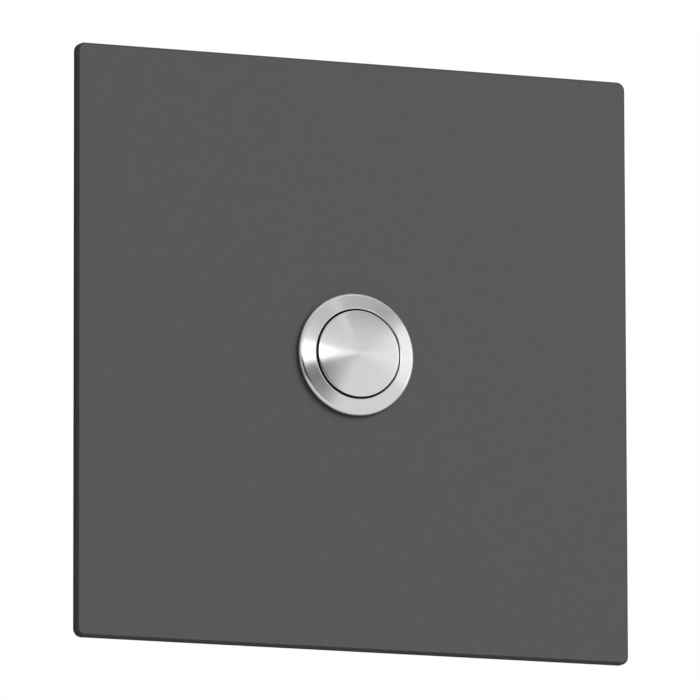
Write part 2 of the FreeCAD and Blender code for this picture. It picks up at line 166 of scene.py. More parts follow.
def new_group(name, inputs, outputs):
    """Starts a node group with named inputs {name: default} and outputs {name: socket type}."""
    tree = bpy.data.node_groups.new(name, "ShaderNodeTree")
    for label, default in inputs.items():
        kind = "NodeSocketVector" if isinstance(default, tuple) else "NodeSocketFloat"
        tree.interface.new_socket(name=label, in_out="INPUT", socket_type=kind).default_value = default
    for label, kind in outputs.items():
        tree.interface.new_socket(name=label, in_out="OUTPUT", socket_type="NodeSocket" + kind)
    return tree, tree.nodes.new("NodeGroupInput").outputs, tree.nodes.new("NodeGroupOutput").inputs


def use_group(tree, group, **inputs):
    """Places a group in a material with its own values. An underscore in a name stands for a space."""
    made = tree.nodes.new("ShaderNodeGroup")
    made.node_tree = group
    feed(tree, made, {key.replace("_", " "): value for key, value in inputs.items()})
    return made.outputs


def mask_of(tree, value, low, high):
    """A mask that is 0 where the value is at low and 1 where it is at high."""
    return add(tree, "MapRange", {"Value": value, "From Min": low, "From Max": high}).outputs[0]


def between(tree, mask, low, high):
    """A number that runs from low to high with the mask."""
    return add(tree, "MapRange", {"Value": mask, "To Min": low, "To Max": high}).outputs[0]


def two_tones(tree, mask, dark, light):
    """A colour that runs from dark to light with the mask."""
    return add(tree, "Mix", {0: mask, 6: dark, 7: light}, data_type="RGBA").outputs[2]


print("node tools ready")

# %% [markdown]
# ## Grain: the unevenness that every surface has
# Powder coating, rubber and moulded plastic are never one even colour or one even gloss.
# Two layers of noise, a coarse one and a fine one, give a height for the bump and a mask for colour and
# gloss. Noise stays near its middle value, so the mask stretches that middle.
# The pattern reads object coordinates, so it sticks to the piece when the piece moves.

# %% Group: grain
FINE_TO_COARSE = 5.3
GRAIN_RANGE = (0.35, 0.65)

grain_group, given, gives = new_group(
    "grain",
    {"Scale": 1000.0, "Fine Share": 0.4},
    {"Height": "Float", "Mask": "Float"},
)
place = add(grain_group, "TexCoord").outputs["Object"]
coarse = add(grain_group, "TexNoise", {
    "Vector": place, "Scale": given["Scale"], "Detail": 3.0, "Roughness": 0.55,
})
fine_scale = add(grain_group, "Math", {0: given["Scale"], 1: FINE_TO_COARSE}, operation="MULTIPLY").outputs[0]
fine = add(grain_group, "TexNoise", {"Vector": place, "Scale": fine_scale, "Detail": 2.0, "Roughness": 0.6})
blend = add(grain_group, "Mix", {0: given["Fine Share"], 2: coarse.outputs["Fac"], 3: fine.outputs["Fac"]})
grain_group.links.new(blend.outputs[0], gives["Height"])
grain_group.links.new(mask_of(grain_group, blend.outputs[0], *GRAIN_RANGE), gives["Mask"])
print("group:", grain_group.name)

# %% [markdown]
# ## Turning marks: the rings that a lathe and a brush leave
# The button's face is brushed while it turns, so its scratches are arcs round the axis.
# Noise gives such arcs when it is read in turned coordinates: fast across the radius, slow round the
# circle. The depth counts too, so that walls along the axis get their rings.
# The angle goes in as a point on a small circle and not as a number, because a number would jump at half
# a turn.

# %% Group: turning marks
MARK_RANGE = (0.3, 0.7)
DEPTH_TO_RADIUS = 1.7
SECTOR_SCALE = 9.0

turning_group, given, gives = new_group(
    "turning_marks",
    {"Pitch": 60 * MICRON, "Arc Count": 5.0},
    {"Height": "Float", "Mask": "Float", "Sectors": "Float"},
)
place = add(turning_group, "TexCoord").outputs["Object"]
flat = add(turning_group, "VectorMath", {0: place, 1: (1, 0, 1)}, operation="MULTIPLY").outputs["Vector"]
radius = add(turning_group, "VectorMath", {0: flat}, operation="LENGTH").outputs["Value"]
heading = add(turning_group, "VectorMath", {0: flat}, operation="NORMALIZE").outputs["Vector"]
depth = add(turning_group, "SeparateXYZ", {0: place}).outputs["Y"]
path = add(turning_group, "Math", {0: depth, 1: DEPTH_TO_RADIUS, 2: radius}, operation="MULTIPLY_ADD")
ring = add(turning_group, "Math", {0: path.outputs[0], 1: given["Pitch"]}, operation="DIVIDE").outputs[0]
along = add(turning_group, "VectorMath", {0: heading, "Scale": given["Arc Count"]}, operation="SCALE")
across = add(turning_group, "CombineXYZ", {"Y": ring}).outputs[0]
turned = add(turning_group, "VectorMath", {0: along.outputs[0], 1: across}, operation="ADD").outputs[0]
scratch = add(turning_group, "TexNoise", {"Vector": turned, "Scale": 1.0, "Detail": 3.0, "Roughness": 0.7})
sector = add(turning_group, "TexNoise", {
    "Vector": heading, "Scale": SECTOR_SCALE, "Detail": 4.0, "Roughness": 0.7,
})
turning_group.links.new(scratch.outputs["Fac"], gives["Height"])
turning_group.links.new(mask_of(turning_group, scratch.outputs["Fac"], *MARK_RANGE), gives["Mask"])
turning_group.links.new(sector.outputs["Fac"], gives["Sectors"])
print("group:", turning_group.name)

# %% [markdown]
# ## Drawn streaks: marks along one direction
# Rolled strip, drawn wire and bar stock carry fine lines along the direction in which they were pulled.
# Stretching the noise does that: a low number makes the pattern long in that direction, a high one makes
# it fine.

# %% Group: drawn streaks
streak_group, given, gives = new_group(
    "drawn_streaks",
    {"Stretch": (4000.0, 200.0, 4000.0)},
    {"Height": "Float", "Mask": "Float"},
)
place = add(streak_group, "TexCoord").outputs["Object"]
stretched = add(streak_group, "VectorMath", {0: place, 1: given["Stretch"]}, operation="MULTIPLY").outputs[0]
lines = add(streak_group, "TexNoise", {"Vector": stretched, "Scale": 1.0, "Detail": 4.0, "Roughness": 0.65})
streak_group.links.new(lines.outputs["Fac"], gives["Height"])
streak_group.links.new(mask_of(streak_group, lines.outputs["Fac"], *MARK_RANGE), gives["Mask"])
print("group:", streak_group.name)

# %% [markdown]
# ## Edge polish: what handling and plating do to an edge
# Edges of plated and moulded pieces are a little brighter and smoother than their faces.
# The Bevel node gives the normal that a rounded edge would have. Where it turns away from the real normal,
# there is an edge. The dot product of the two falls from one there, and that makes the mask.

# %% Group: edge polish
EDGE_RANGE = (1.0, 0.85)

edge_group, given, gives = new_group("edge_polish", {"Radius": 150 * MICRON}, {"Mask": "Float"})
rounded = add(edge_group, "Bevel", {"Radius": given["Radius"]}, samples=4).outputs[0]
plain = add(edge_group, "NewGeometry").outputs["Normal"]
agree = add(edge_group, "VectorMath", {0: rounded, 1: plain}, operation="DOT_PRODUCT").outputs["Value"]
edge_group.links.new(mask_of(edge_group, agree, *EDGE_RANGE), gives["Mask"])
print("group:", edge_group.name)


# %% [markdown]
# ## One shader for every finish
# All finishes share the same shape: a colour that varies between two tones, a roughness that varies
# between two values, and a bump. Metal and plastic differ only in the numbers, and those go on the
# shader's own sockets.

# %% Tools for finishes
def finish(name, **sockets):
    """A new material for that slot, its nodes and its shader, with the values that are the same all over."""
    material = bpy.data.materials.new(name + "_finish")
    material["slot"] = name
    material.use_nodes = True
    shader = material.node_tree.nodes["Principled BSDF"]
    feed(material.node_tree, shader, {key.replace("_", " "): value for key, value in sockets.items()})
    return material, material.node_tree, shader


def grey(value, warmth=0.0):
    """A colour near grey. A positive warmth adds red and takes blue away."""
    return (value * (1 + warmth), value, value * (1 - warmth), 1.0)


def shade(colour, factor, lift=0.0):
    """The colour made darker or lighter, but never lighter than white."""
    return tuple(min(1.0, channel * factor + lift) for channel in colour[:3]) + (1.0,)


def add_bump(tree, shader, height, depth, strength, over=None):
    """Adds a bump of that depth in metres, on top of another bump if one is given."""
    inputs = {"Height": height, "Distance": depth, "Strength": strength}
    if over is not None:
        inputs["Normal"] = over
    bump = add(tree, "Bump", inputs)
    feed(tree, shader, {"Normal": bump.outputs[0]})
    return bump.outputs[0]


def face_mask(tree, low, high):
    """The surface's normal, and a mask that is 1 on faces across the Y axis and 0 on walls along it."""
    normal = add(tree, "NewGeometry").outputs["Normal"]
    forward = add(tree, "SeparateXYZ", {0: normal}).outputs["Y"]
    level = add(tree, "Math", {0: forward}, operation="ABSOLUTE").outputs[0]
    return normal, mask_of(tree, level, low, high)


print("finish tools ready")

# %% [markdown]
# ## Powder coating
# Anthracite powder is sprayed on dry and melted. It flows out to a matt skin that is not quite flat: a
# soft orange peel about a millimetre wide with a fine tooth on it. Its gloss is very low.
# The cut edges and the sides get a darker base colour, which is painted shade. They are also quite dull, so
# they don't shine when seen at a flat angle.

# %% Finish: powder coating
# The third colour is painted shade for the plate's sides and broken edges.
COATING_DARK, COATING_LIGHT, COATING_PAINTED_SHADE = 0.0880, 0.0960, 0.070
COATING_ROUGHNESS = (0.72, 0.84)
COATING_FACES = (0.72, 0.95)
EDGE_ROUGHNESS = 1.0

powder_coat, tree, shader = finish("plate_coating", Specular_IOR_Level=0.05)
skin = use_group(tree, grain_group, Scale=1100.0, Fine_Share=0.45)
_, face = face_mask(tree, *COATING_FACES)
tone = two_tones(tree, skin["Mask"], grey(COATING_DARK), grey(COATING_LIGHT))
matt = between(tree, skin["Mask"], *COATING_ROUGHNESS)
# Walls and the broken edge take the darker edge colour, which is painted shade where the normal turns away
# from Y.
feed(tree, shader, {
    "Base Color": two_tones(tree, face, grey(COATING_PAINTED_SHADE), tone),
    "Roughness": add(tree, "Mix", {0: face, 2: EDGE_ROUGHNESS, 3: matt}).outputs[0],
})
peel = add_bump(tree, shader, skin["Height"], 12 * MICRON, strength=0.5)
tooth = use_group(tree, grain_group, Scale=9000.0, Fine_Share=0.5)
add_bump(tree, shader, tooth["Height"], 3 * MICRON, strength=0.5, over=peel)
print("finish:", powder_coat.name)

# %% [markdown]
# ## Circular brushed stainless steel
# Every scratch is a tiny groove round the axis. Grooves spread a reflection across themselves and keep it
# narrow along themselves, which is why lights show as bright wedges that meet in the middle.
# The shader's anisotropy does this. Its tangent has to point across the grooves. A groove runs round the
# axis, so the cross product of the place and the axis gives its direction, and the cross product with the
# normal turns that by a right angle within the surface.

# %% Finish: circular brushed stainless
BRUSHED_ANISOTROPY = 0.94
WALL_ROUGHNESS = 0.22
BRUSHED_FACES = (0.3, 0.9)
TONE_SPREAD = 0.03
STEEL_WARMTH = 0.012


def brushed_stainless(name, tone, roughness):
    """Stainless steel brushed round the Y axis. Walls along the axis are only turned."""
    material, tree, shader = finish(name, Metallic=1.0, Anisotropic=BRUSHED_ANISOTROPY)
    marks = use_group(tree, turning_group, Pitch=70 * MICRON, Arc_Count=4.0)
    dark, light = grey(tone * (1 - TONE_SPREAD), STEEL_WARMTH), grey(tone * (1 + TONE_SPREAD), STEEL_WARMTH)
    normal, face = face_mask(tree, *BRUSHED_FACES)
    sectors = mask_of(tree, marks["Sectors"], *MARK_RANGE)
    brushed = between(tree, sectors, *roughness)
    place = add(tree, "TexCoord").outputs["Object"]
    groove = add(tree, "VectorMath", {0: place, 1: Y_AXIS}, operation="CROSS_PRODUCT").outputs[0]
    feed(tree, shader, {
        "Base Color": two_tones(tree, marks["Mask"], dark, light),
        "Roughness": add(tree, "Mix", {0: face, 2: WALL_ROUGHNESS, 3: brushed}).outputs[0],
        "Tangent": add(tree, "VectorMath", {0: normal, 1: groove}, operation="CROSS_PRODUCT").outputs[0],
    })
    add_bump(tree, shader, marks["Height"], 0.8 * MICRON, strength=0.4)
    return material


housing_steel = brushed_stainless("switch_stainless", tone=0.65, roughness=(0.22, 0.25))
cap_steel = brushed_stainless("cap_stainless", tone=0.66, roughness=(0.195, 0.225))
print("finishes:", housing_steel.name, cap_steel.name)


# %% [markdown]
# ## Plated, drawn and stamped metals
# Nickel on the nut is warm and satin, zinc on washers and screws is bluish and brighter, spring steel is
# darker. Brass strip and silver rivets carry the current. All of them show streaks from rolling or drawing,
# and brighter edges where plating and tumbling have rounded them.

# %% Finishes: other metals
CLOUD_DARK, CLOUD_LIGHT, EDGE_BRIGHT = 0.82, 1.04, 1.22
STREAK_SMOOTH, STREAK_ROUGH, EDGE_SMOOTHER = 0.85, 1.2, -0.12


def metal(name, colour, roughness, stretch, streak_depth=1.5 * MICRON):
    """A metal with drawn or rolled streaks, cloudy plating and polished edges."""
    material, tree, shader = finish(name, Metallic=1.0)
    streaks = use_group(tree, streak_group, Stretch=stretch)
    cloud = use_group(tree, grain_group, Scale=700.0, Fine_Share=0.3)
    edge = use_group(tree, edge_group, Radius=120 * MICRON)["Mask"]
    body = two_tones(tree, cloud["Mask"], shade(colour, CLOUD_DARK), shade(colour, CLOUD_LIGHT))
    smoother = between(tree, edge, 0.0, EDGE_SMOOTHER)
    uneven = between(tree, streaks["Mask"], roughness * STREAK_SMOOTH, roughness * STREAK_ROUGH)
    feed(tree, shader, {
        "Base Color": two_tones(tree, edge, body, shade(colour, EDGE_BRIGHT)),
        "Roughness": add(tree, "Math", {0: smoother, 1: uneven}, operation="ADD").outputs[0],
    })
    add_bump(tree, shader, streaks["Height"], streak_depth, strength=0.6)
    return material


FINE, LONG = 6000.0, 350.0
nickel = metal("nut_nickel", (0.66, 0.62, 0.55), 0.32, (FINE, LONG, FINE))
zinc = metal("zinc_steel", (0.60, 0.63, 0.67), 0.30, (FINE, FINE, LONG))
stud_steel = metal("stud_steel", (0.60, 0.59, 0.57), 0.34, (FINE, LONG, FINE))
spring_steel = metal("spring_steel", (0.47, 0.47, 0.48), 0.28, (FINE, LONG, FINE), 0.8 * MICRON)
brass = metal("contact_brass", (0.77, 0.56, 0.27), 0.26, (LONG, FINE, FINE))
silver = metal("contact_silver", (0.86, 0.85, 0.82), 0.20, (FINE, FINE, FINE), 0.6 * MICRON)
print("finishes:", [m.name for m in (nickel, zinc, stud_steel, spring_steel, brass, silver)])


# %% [markdown]
# ## Rubber, acetal and glass-filled nylon
# Rubber is black and dull. Acetal is milky: a little light goes in and comes out beside where it went in,
# which is subsurface scattering. The carrier's plastic is black with glass fibres, which leave flow lines
# and a greyish bloom.

# %% Finishes: rubber and plastics
WORN_FACTOR, WORN_LIFT = 1.25, 0.01


def plastic(name, dark, light, roughness, scale, bump_depth, **sockets):
    """A moulded material with a grain, a gloss that varies and edges that catch the light."""
    material, tree, shader = finish(name, **sockets)
    grain = use_group(tree, grain_group, Scale=scale, Fine_Share=0.5)
    edge = use_group(tree, edge_group, Radius=200 * MICRON)["Mask"]
    body = two_tones(tree, grain["Mask"], dark, light)
    feed(tree, shader, {
        "Base Color": two_tones(tree, edge, body, shade(light, WORN_FACTOR, WORN_LIFT)),
        "Roughness": between(tree, grain["Mask"], *roughness),
    })
    add_bump(tree, shader, grain["Height"], bump_depth, strength=0.6)
    return material


rubber = plastic(
    "seal_rubber", grey(0.016), grey(0.026), (0.55, 0.75), 2500.0, 6 * MICRON, Specular_IOR_Level=0.3,
)
acetal = plastic(
    "plunger_plastic", grey(0.76, 0.02), grey(0.82, 0.02), (0.30, 0.42), 1500.0, 3 * MICRON,
    Subsurface_Weight=0.15, Subsurface_Scale=0.8 * MM,
)
nylon = plastic(
    "carrier_plastic", grey(0.020, -0.02), grey(0.034, -0.02), (0.38, 0.58), 1800.0, 8 * MICRON,
)
print("finishes:", [m.name for m in (rubber, acetal, nylon)])


# %% [markdown]
# ## From a bmesh to a piece
# A bmesh is the mesh while it is being modelled. When a shape is done, it is scaled from millimetres to
# metres, faces are shaded smooth, and edges sharper than an angle are marked so that they stay crisp.
# A weighted normal modifier then keeps large flat faces flat up to their rounded edges.
# Last, the piece is attached to its body, the measured nodes that it stands for are hidden, and it gets its
# finish.

# %% Tools for pieces
SMOOTH_ANGLE = math.radians(38)
MERGE_DISTANCE = 1e-4


def keep_faces_flat(made):
    """Lets large faces keep their own normal up to their rounded edges."""
    made.modifiers.new("flat faces stay flat", "WEIGHTED_NORMAL").keep_sharp = True


def piece(bm, name, body, material, *nodes, weighted=True):
    """Makes an object of a bmesh in millimetres. It rides on body and hides the nodes that it stands for."""
    bmesh.ops.scale(bm, vec=(MM, MM, MM), verts=bm.verts)
    mesh = mesh_of(bm, name)
    for polygon in mesh.polygons:
        polygon.use_smooth = True
    mesh.set_sharp_from_angle(angle=SMOOTH_ANGLE)
    mesh.materials.append(material)
    made = placed(name, mesh)
    if weighted:
        keep_faces_flat(made)
    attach(made, body)
    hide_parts(*nodes)
    print(f"{name}: {len(mesh.vertices)} points, {len(mesh.polygons)} faces")
    return made


def clean_up(bm):
    """Merges what coincides, drops faces without area and turns all faces outwards."""
    bmesh.ops.remove_doubles(bm, verts=bm.verts, dist=MERGE_DISTANCE)
    bmesh.ops.dissolve_degenerate(bm, dist=MERGE_DISTANCE, edges=bm.edges)
    bmesh.ops.recalc_face_normals(bm, faces=bm.faces)


# %% [markdown]
# ## Turning on a lathe
# Most of the switch is turned, and so is its mesh: a profile of points is drawn at one side of the axis
# and spun right round it. A point is a radius and a depth, and the order runs along the outline.
# Where a tool or a tumbler rounds all corners alike, a vertex bevel rounds them on the profile, before the
# spin. That costs far less than a bevel on the solid.

# %% Tools for turned pieces
def profile_edges(bm, points, closed=False):
    """Draws (radius, y) points as a chain of edges in the XY plane."""
    corners = [bm.verts.new((radius, y, 0)) for radius, y in points]
    chain = [bm.edges.new(pair) for pair in zip(corners, corners[1:])]
    if closed:
        chain.append(bm.edges.new((corners[-1], corners[0])))
    return corners, chain


def spin_round(bm, geom, steps):
    """Spins geometry right round the Y axis and joins the last step to the first."""
    bmesh.ops.spin(
        bm, geom=geom, cent=CENTRE, axis=Y_AXIS, angle=math.tau, steps=steps, use_merge=True,
    )


def lathe(points, steps, rounding=0.0, closed=True):
    """Spins a profile round the Y axis. Corners off the axis are rounded by that many millimetres."""
    bm = bmesh.new()
    corners, _ = profile_edges(bm, points, closed)
    if rounding:
        off_axis = [corner for corner in corners if corner.co.x > MERGE_DISTANCE]
        bmesh.ops.bevel(
            bm, geom=off_axis, offset=rounding, segments=2, profile=0.5, affect="VERTICES",
            clamp_overlap=True, material=-1,
        )
    spin_round(bm, bm.verts[:] + bm.edges[:], steps)
    clean_up(bm)
    return bm


print("lathe ready")

# %% [markdown]
# ## Cutting a thread
# A thread is a profile that climbs while it turns. Spin does that too: dvec moves the profile a little
# along the axis at every step, one pitch in a full turn.
# Rows of points then follow the helix. At both ends they are pressed flat on the end's circle, so the
# thread runs out under a chamfer, and the rod closes there without a seam.

# %% Tools for threads
THREAD_DEPTH = 0.5413
THREAD_ROWS = ((0.0, 1.0), (0.125, 1.0), (0.4375, 0.0), (0.6875, 0.0))


def thread_rows(bm, major_r, pitch, start, end, steps, start_r, end_r):
    """Adds a threaded sleeve between start and end. Its ends close in circles of start_r and end_r."""
    turns = math.ceil((end - start) / pitch) + 2
    points = [
        (major_r - THREAD_DEPTH * pitch * (1 - height), start + pitch * (turn - 1 + share))
        for turn in range(turns)
        for share, height in THREAD_ROWS
    ]
    before = set(bm.verts)
    corners, chain = profile_edges(bm, points)
    bmesh.ops.spin(
        bm, geom=corners + chain, cent=CENTRE, axis=Y_AXIS, angle=math.tau, steps=steps,
        dvec=(0, pitch / steps, 0), use_merge=False,
    )
    for vert in bm.verts:
        if vert in before:
            continue
        y = min(max(vert.co.y, start), end)
        radius = math.hypot(vert.co.x, vert.co.z)
        limit = min(radius, end_r + (end - y), start_r + (y - start))
        vert.co = (vert.co.x * limit / radius, y, vert.co.z * limit / radius)


print("thread tools ready")

# %% [markdown]
# ## Refining a measured solid
# A washer with twisted teeth, a bent contact strip or a moulded carrier already has the right shape in the
# frame. A copy of that node is merged, its flat triangles become whole faces again, and a bevel gives it
# the small radii that stamping, tumbling and moulding leave. Light needs such a radius to find an edge.

# %% Tools for refined pieces
FLAT_ANGLE = math.radians(0.6)
CREASE_ANGLE = math.radians(32)


def refined(node, rounding):
    """A bmesh in millimetres of the node's solid, with its sharp edges rounded."""
    bm = bmesh.new()
    bm.from_mesh(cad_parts[node].data)
    bmesh.ops.scale(bm, vec=(1 / MM, 1 / MM, 1 / MM), verts=bm.verts)
    bmesh.ops.remove_doubles(bm, verts=bm.verts, dist=MERGE_DISTANCE)
    bmesh.ops.dissolve_limit(bm, angle_limit=FLAT_ANGLE, verts=bm.verts, edges=bm.edges)
    creases = [
        edge for edge in bm.edges
        if len(edge.link_faces) == 2 and edge.calc_face_angle() > CREASE_ANGLE
    ]
    bmesh.ops.bevel(
        bm, geom=creases, offset=rounding, segments=2, profile=0.5, affect="EDGES",
        clamp_overlap=True, material=-1,
    )
    clean_up(bm)
    return bm


def refined_piece(style, node, rounding, body, material):
    """A refined solid as a piece, whose name says how the real one is made."""
    return piece(refined(node, rounding), f"{style}_{node}", body, material, node)


print("refining tools ready")

# %% [markdown]
# ## Face plate
# Laser-cut steel, 1.5 mm thick and 85 mm square. Its four corners are barely rounded and its front edge is
# broken. The broken edge faces half sideways, and with the painted shade in the coating's colour it looks as
# dark as the side.
# A square face is drawn and its corners are bevelled. The face is then extruded to the plate's thickness,
# and the front and back outlines are bevelled. The coating wraps round both lines of the broken edge and
# softens them.

# %% Face plate
PLATE_CORNER_R = 1.2
PLATE_FRONT_BREAK = 0.37
PLATE_BACK_R = 0.12
COATING_R = 0.05


def soften_outline(bm, y, offset, segments):
    """Bevels the edges of the outline that lie at that depth."""
    edges = [edge for edge in bm.edges if all(abs(vert.co.y - y) < MERGE_DISTANCE for vert in edge.verts)]
    bmesh.ops.bevel(
        bm, geom=edges, offset=offset, segments=segments, profile=0.5, affect="EDGES", material=-1,
    )


bm = bmesh.new()
bmesh.ops.create_grid(bm, x_segments=1, y_segments=1, size=plate_high.x)
bmesh.ops.rotate(bm, cent=CENTRE, matrix=Matrix.Rotation(math.pi / 2, 3, "X"), verts=bm.verts)
bmesh.ops.translate(bm, vec=(0, plate_low.y, 0), verts=bm.verts)
bmesh.ops.bevel(
    bm, geom=bm.verts[:], offset=PLATE_CORNER_R, segments=10, profile=0.5, affect="VERTICES", material=-1,
)
grown = bmesh.ops.extrude_face_region(bm, geom=bm.faces[:])["geom"]
moved = [item for item in grown if isinstance(item, bmesh.types.BMVert)]
bmesh.ops.translate(bm, vec=(0, plate_high.y - plate_low.y, 0), verts=moved)
bmesh.ops.recalc_face_normals(bm, faces=bm.faces)
soften_outline(bm, plate_low.y, PLATE_FRONT_BREAK, 1)
soften_outline(bm, plate_low.y, COATING_R, 2)
soften_outline(bm, plate_low.y + PLATE_FRONT_BREAK, COATING_R, 2)
soften_outline(bm, plate_high.y, PLATE_BACK_R, 2)
face_plate = piece(bm, "coated_face_plate", FIXED, powder_coat, "face_plate", weighted=False)

# %% [markdown]
# ## The hole for the barrel
# The laser also cuts the hole. A ring of points in the face could be bridged through the sheet, but a
# Boolean cut keeps the front and the back one flat face each.
# The drum is a cutter that doesn't stay in the scene. The Boolean modifier is worked out once and its
# result becomes the plate's own mesh, so that the sharp edges can be marked on it afterwards.

# %% The hole for the barrel
HOLE_R = 8.1
HOLE_STEPS = 160
DRUM_LENGTH = 10


def cut_with(target, cutter):
    """Takes the cutter's shape out of the target for good, then removes the cutter."""
    step = target.modifiers.new("cut", "BOOLEAN")
    step.operation = "DIFFERENCE"
    step.solver = "EXACT"
    step.object = cutter
    seen = target.evaluated_get(bpy.context.evaluated_depsgraph_get())
    cut_mesh = bpy.data.meshes.new_from_object(seen)
    target.modifiers.remove(step)
    whole_mesh = target.data
    target.data = cut_mesh
    cut_mesh.name = target.name
    bpy.data.meshes.remove(whole_mesh)
    bpy.data.objects.remove(cutter)


drum = bmesh.new()
bmesh.ops.create_cone(
    drum, cap_ends=True, segments=HOLE_STEPS, radius1=HOLE_R * MM, radius2=HOLE_R * MM,
    depth=DRUM_LENGTH * MM, matrix=Matrix.Rotation(math.pi / 2, 4, "X"),
)
cut_with(face_plate, placed("hole_drum", mesh_of(drum, "hole_drum")))
face_plate.data.set_sharp_from_angle(angle=SMOOTH_ANGLE)
keep_faces_flat(face_plate)
print("plate faces after the hole:", len(face_plate.data.polygons))

# %% [markdown]
# ## Weld studs
# Four M4 pins are welded to the plate's back. The weld leaves a small collar of spatter at each foot, then
# comes a short plain shank, then the rolled thread, and a chamfered tip that finds the nut.
# One stud is modelled on the axis: collar and shank as a short profile, the thread from the thread tool
# with the same number of steps, so that both halves share one circle of points.
# Two waves round the collar make it uneven, and the stud's number shifts them, so that no two are alike.

# %% Weld studs
STUD_R = 2.0
STUD_PITCH = 0.7
STUD_LENGTH = 16.0
STUD_STEPS = 48
STUD_SHANK = 1.6
STUD_CORE_R = STUD_R - THREAD_DEPTH * STUD_PITCH
STUD_THREAD_FOOT_R = STUD_CORE_R - 0.05
STUD_TIP_R = STUD_R - 0.5
COLLAR_BAND = (0.1, 0.6)
COLLAR_WAVE = 0.05
STUD_PROFILE = (
    (0.0, 0.0), (2.55, 0.0), (2.5, 0.28), (2.12, 0.5), (STUD_R, 0.75), (STUD_R, STUD_SHANK - 0.35),
    (STUD_THREAD_FOOT_R, STUD_SHANK),
)


def weld_stud(number):
    """One threaded stud with its weld collar, moved to its measured place."""
    low, high = span(f"weld_stud_{number}")
    bm = bmesh.new()
    corners, chain = profile_edges(bm, STUD_PROFILE)
    spin_round(bm, corners + chain, STUD_STEPS)
    for vert in bm.verts:
        if COLLAR_BAND[0] < vert.co.y < COLLAR_BAND[1]:
            angle = math.atan2(vert.co.z, vert.co.x)
            wave = math.sin(3 * angle + number) + 0.6 * math.sin(7 * angle + 2 * number)
            vert.co.y += COLLAR_WAVE * wave
    thread_rows(
        bm, STUD_R, STUD_PITCH, STUD_SHANK, STUD_LENGTH, STUD_STEPS, STUD_THREAD_FOOT_R, STUD_TIP_R,
    )
    corners, chain = profile_edges(bm, ((STUD_TIP_R, STUD_LENGTH), (0.0, STUD_LENGTH)))
    spin_round(bm, corners + chain, STUD_STEPS)
    clean_up(bm)
    middle = (low + high) / 2
    bmesh.ops.translate(bm, vec=(middle.x, 0, middle.z), verts=bm.verts)
    piece(bm, f"threaded_weld_stud_{number}", FIXED, stud_steel, f"weld_stud_{number}")


for number in range(1, 5):
    weld_stud(number)

# %% [markdown]
# ## Switch housing
# Bezel and barrel are one turned piece. The bezel is a shallow cone. Its inner edge is barely broken, and
# its outer rim is rounded over: the rounding is a quarter of a circle, less the slope of the cone that it
# starts from. Behind the plate the barrel carries an M16 thread with a pitch of 1 mm.
# The inside has the bore for the cap, the web that the plunger runs through, and the seat of the contact
# carrier. The last edge is rolled in over the carrier.

# %% Switch housing
TURNED_STEPS = 144
BARREL_R = 8.0
BARREL_PITCH = 1.0
BARREL_CORE_R = BARREL_R - THREAD_DEPTH * BARREL_PITCH - 0.02
THREAD_START, THREAD_END = -1.0, 15.75
THREAD_TIP_R = 7.3
BEZEL_FOOT = -1.8
RIM_ROUND = 0.68
RIM_CENTRE_R = 8.20
RIM_ANGLES = (90.0, 80.0, 70.0, 60.0, 50.0, 40.0, 30.0, 20.0, 11.8)
BORE_R = 6.47
WEB_FRONT, WEB_BACK = 4.0, 6.0
STEM_HOLE_R, STEM_HOLE_BREAK = 2.55, 0.07
CLIP_ROOM_R = 5.7
CARRIER_BORE_R, CARRIER_SEAT = 6.5, 7.0
BARREL_END = 16.0

BEZEL_RIM = [
    (RIM_CENTRE_R + RIM_ROUND * math.sin(angle), BEZEL_FOOT - RIM_ROUND * math.cos(angle))
    for angle in map(math.radians, RIM_ANGLES)
]
BEZEL_LIP = ((6.70, -2.795), (6.63, -2.805), (6.57, -2.797), (6.52, -2.77), (6.485, -2.73), (BORE_R, -2.67))
WEB_HOLE = (
    (BORE_R, WEB_FRONT), (STEM_HOLE_R + STEM_HOLE_BREAK, WEB_FRONT),
    (STEM_HOLE_R, WEB_FRONT + STEM_HOLE_BREAK), (STEM_HOLE_R, WEB_BACK - STEM_HOLE_BREAK),
    (STEM_HOLE_R + STEM_HOLE_BREAK, WEB_BACK),
)
CARRIER_ROOM = (
    (CLIP_ROOM_R, WEB_BACK), (CLIP_ROOM_R, CARRIER_SEAT), (CARRIER_BORE_R, CARRIER_SEAT),
)
ROLLED_EDGE = (
    (CARRIER_BORE_R, 15.38), (6.22, 15.42), (6.2, 15.5), (6.22, 15.86), (6.4, 15.98), (6.7, BARREL_END),
)
HOUSING_PROFILE = (
    (BARREL_CORE_R, THREAD_START), (BARREL_CORE_R, BEZEL_FOOT), *BEZEL_RIM, *BEZEL_LIP, *WEB_HOLE,
    *CARRIER_ROOM, *ROLLED_EDGE, (THREAD_TIP_R, THREAD_END),
)

bm = bmesh.new()
corners, chain = profile_edges(bm, HOUSING_PROFILE)
spin_round(bm, corners + chain, TURNED_STEPS)
thread_rows(
    bm, BARREL_R, BARREL_PITCH, THREAD_START, THREAD_END, TURNED_STEPS, BARREL_CORE_R, THREAD_TIP_R,
)
clean_up(bm)
piece(bm, "turned_switch_housing", FIXED, housing_steel, "switch_housing")

# %% [markdown]
# ## Push cap
# A turned cup. Its face is a shallow dome, a small part of a large ball, brushed while it turned. The
# brushing has worn its rim round by a tenth of a millimetre.
# The dome's profile is a few points of that ball's circle. Smooth shading joins them, so a few are enough,
# and the lathe takes groove and walls along in the same turn.
# Behind the rim follow the groove of the O-ring and the land that guides the cap in the bore.

# %% Push cap
CAP_CREST = -3.54
CAP_RIM = -3.04
CAP_DOME_R = 37.58
CAP_R = 6.21
CAP_INSIDE_R, CAP_FLOOR = 5.0, -1.20
CAP_END = 2.68
GROOVE_R, GROOVE_FRONT, GROOVE_BACK = 5.45, -0.94, 0.26
LAND_R = 6.42
CAP_BREAK = 0.06

